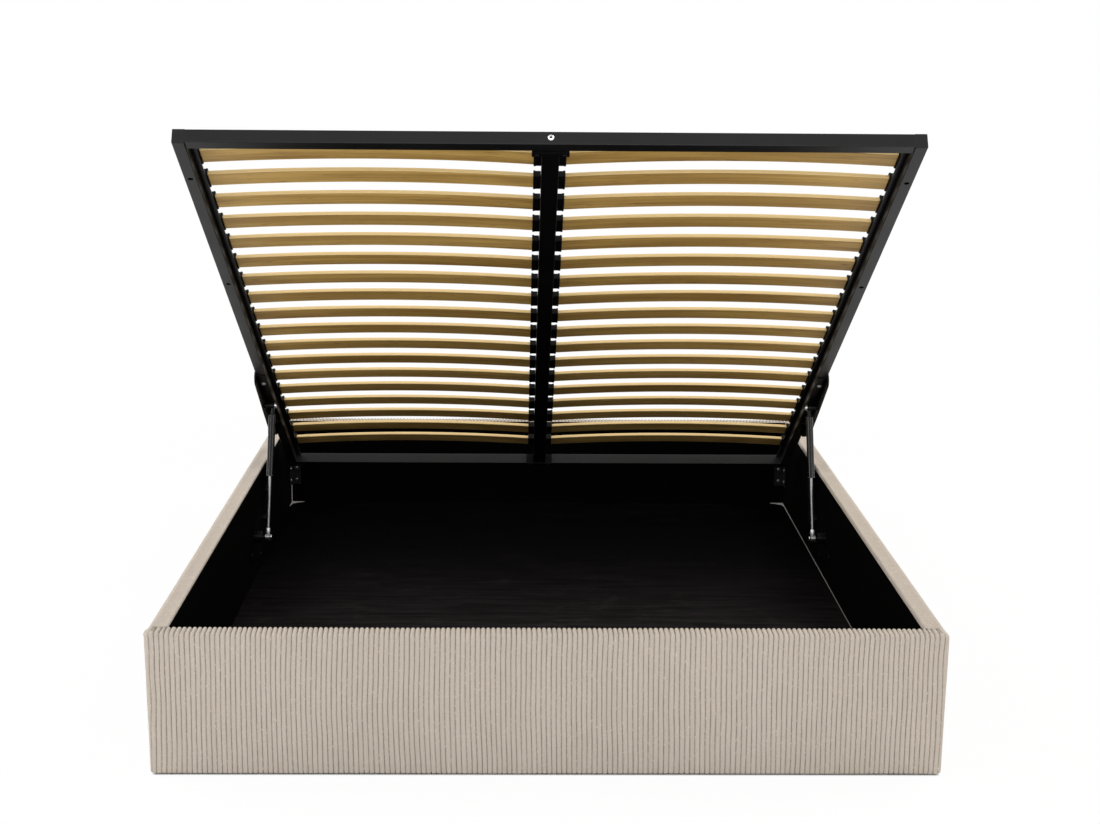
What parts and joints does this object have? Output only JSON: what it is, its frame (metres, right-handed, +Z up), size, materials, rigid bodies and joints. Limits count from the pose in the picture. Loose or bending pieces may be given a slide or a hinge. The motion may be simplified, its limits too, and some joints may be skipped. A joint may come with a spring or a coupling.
{
  "type": "storage bed base",
  "caption": "Fabric-covered storage bed base with a slatted platform that lifts on links and gas struts over the compartment.",
  "frame": {"origin": "middle of the footprint, on the floor", "axes": "+Z up, +Y towards the head end, +X to the right seen from the foot end"},
  "size_m": [1.6, 2.112, 1.2832],
  "materials": {
    "cover_fabric": "wide-rib corduroy, greige",
    "panel_board": "board faced with thin black lining",
    "raw_board": "raw particle board",
    "floor_board": "thin board with a black face",
    "black_plastic": "moulded, fine grain",
    "zinc_steel": "bright zinc",
    "frame_steel": "matt black powder coat",
    "slat_wood": "bent birch plywood",
    "strut_body": "dark grey enamel"
  },
  "bodies": {
    "base": {"foot_board": "panel_board", "head_board": "panel_board", "side_board_left": "panel_board", "side_board_right": "panel_board", "foot_cover": "cover_fabric", "head_cover": "cover_fabric", "side_cover_left": "cover_fabric", "side_cover_right": "cover_fabric", "floor_board_front": "floor_board", "floor_board_rear": "floor_board", "floor_ledgers": "raw_board", "centre_bearer": "raw_board", "bearer_legs": "black_plastic", "panel_glides": "black_plastic", "corner_brackets": "zinc_steel", "base_screws": "zinc_steel", "lift_base_plate_left": "frame_steel", "lift_base_plate_right": "frame_steel", "lift_base_pins": "zinc_steel"},
    "platform": {"side_rail_left": "frame_steel", "side_rail_right": "frame_steel", "rail_end_caps": "black_plastic", "head_rail": "frame_steel", "foot_rail": "frame_steel", "centre_beam": "frame_steel", "beam_tie_plates": "frame_steel", "slat_row_01": "slat_wood", "slat_row_02": "slat_wood", "slat_row_03": "slat_wood", "slat_row_04": "slat_wood", "slat_row_05": "slat_wood", "slat_row_06": "slat_wood", "slat_row_07": "slat_wood", "slat_row_08": "slat_wood", "slat_row_09": "slat_wood", "slat_row_10": "slat_wood", "slat_row_11": "slat_wood", "slat_row_12": "slat_wood", "slat_row_13": "slat_wood", "slat_row_14": "slat_wood", "slat_row_15": "slat_wood", "slat_row_16": "slat_wood", "slat_row_17": "slat_wood", "slat_row_18": "slat_wood", "slat_holders": "black_plastic", "lift_arm_left": "frame_steel", "lift_arm_right": "frame_steel", "arm_link_pins": "zinc_steel", "platform_bolts": "zinc_steel"},
    "left_front_link": {"front_link_left": "frame_steel"},
    "right_front_link": {"front_link_right": "frame_steel"},
    "left_rear_link": {"rear_link_left": "frame_steel"},
    "right_rear_link": {"rear_link_right": "frame_steel"},
    "left_strut_rod": {"strut_rod_left": "zinc_steel"},
    "right_strut_rod": {"strut_rod_right": "zinc_steel"},
    "left_strut_cylinder": {"strut_cylinder_left": "strut_body", "strut_upper_end_left": "zinc_steel"},
    "right_strut_cylinder": {"strut_cylinder_right": "strut_body", "strut_upper_end_right": "zinc_steel"}
  },
  "joints": [
    {"name": "platform_lift", "type": "hinge", "parent": "base", "child": "left_front_link", "pos_m": [-0.7411, 0.3609, 0.1644], "axis": [1, 0, 0], "range_deg": [-66.71, 0]},
    {"name": "platform_tilt", "type": "hinge", "parent": "left_front_link", "child": "platform", "pos_m": [-0.7411, 0.40403, 0.40424], "axis": [1, 0, 0], "range_deg": [0, 97.89]},
    {"name": "right_front_link_swing", "type": "hinge", "parent": "base", "child": "right_front_link", "pos_m": [0.7411, 0.3609, 0.1644], "axis": [1, 0, 0], "range_deg": [-66.71, 0]},
    {"name": "left_rear_link_swing", "type": "hinge", "parent": "base", "child": "left_rear_link", "pos_m": [-0.7456, 0.4198, 0.2274], "axis": [1, 0, 0], "range_deg": [-75.47, 0]},
    {"name": "right_rear_link_swing", "type": "hinge", "parent": "base", "child": "right_rear_link", "pos_m": [0.7456, 0.4198, 0.2274], "axis": [1, 0, 0], "range_deg": [-75.47, 0]},
    {"name": "left_strut_swing", "type": "hinge", "parent": "base", "child": "left_strut_rod", "pos_m": [-0.7243, 0.1985, 0.1542], "axis": [0.9999, -0.0163, 0], "range_deg": [-60.68, 0]},
    {"name": "left_strut_slide", "type": "slide", "parent": "left_strut_rod", "child": "left_strut_cylinder", "axis": [0.0313, 0.2093, 0.9773], "range_m": [-0.09753, 0]},
    {"name": "right_strut_swing", "type": "hinge", "parent": "base", "child": "right_strut_rod", "pos_m": [0.7243, 0.1985, 0.1542], "axis": [0.9999, 0.0163, 0], "range_deg": [-60.68, 0]},
    {"name": "right_strut_slide", "type": "slide", "parent": "right_strut_rod", "child": "right_strut_cylinder", "axis": [-0.0313, 0.2093, 0.9773], "range_m": [-0.09753, 0]}
  ],
  "couplings": [
    {"joint": "platform_tilt", "follows": "platform_lift", "ratio": -1.4673},
    {"joint": "right_front_link_swing", "follows": "platform_lift", "ratio": 1},
    {"joint": "left_rear_link_swing", "follows": "platform_lift", "ratio": 1.1312},
    {"joint": "right_rear_link_swing", "follows": "platform_lift", "ratio": 1.1312},
    {"joint": "left_strut_swing", "follows": "platform_lift", "ratio": 0.90953},
    {"joint": "left_strut_slide", "follows": "platform_lift", "m_per_rad": 0.083754},
    {"joint": "right_strut_swing", "follows": "platform_lift", "ratio": 0.90953},
    {"joint": "right_strut_slide", "follows": "platform_lift", "m_per_rad": 0.083754}
  ]
}
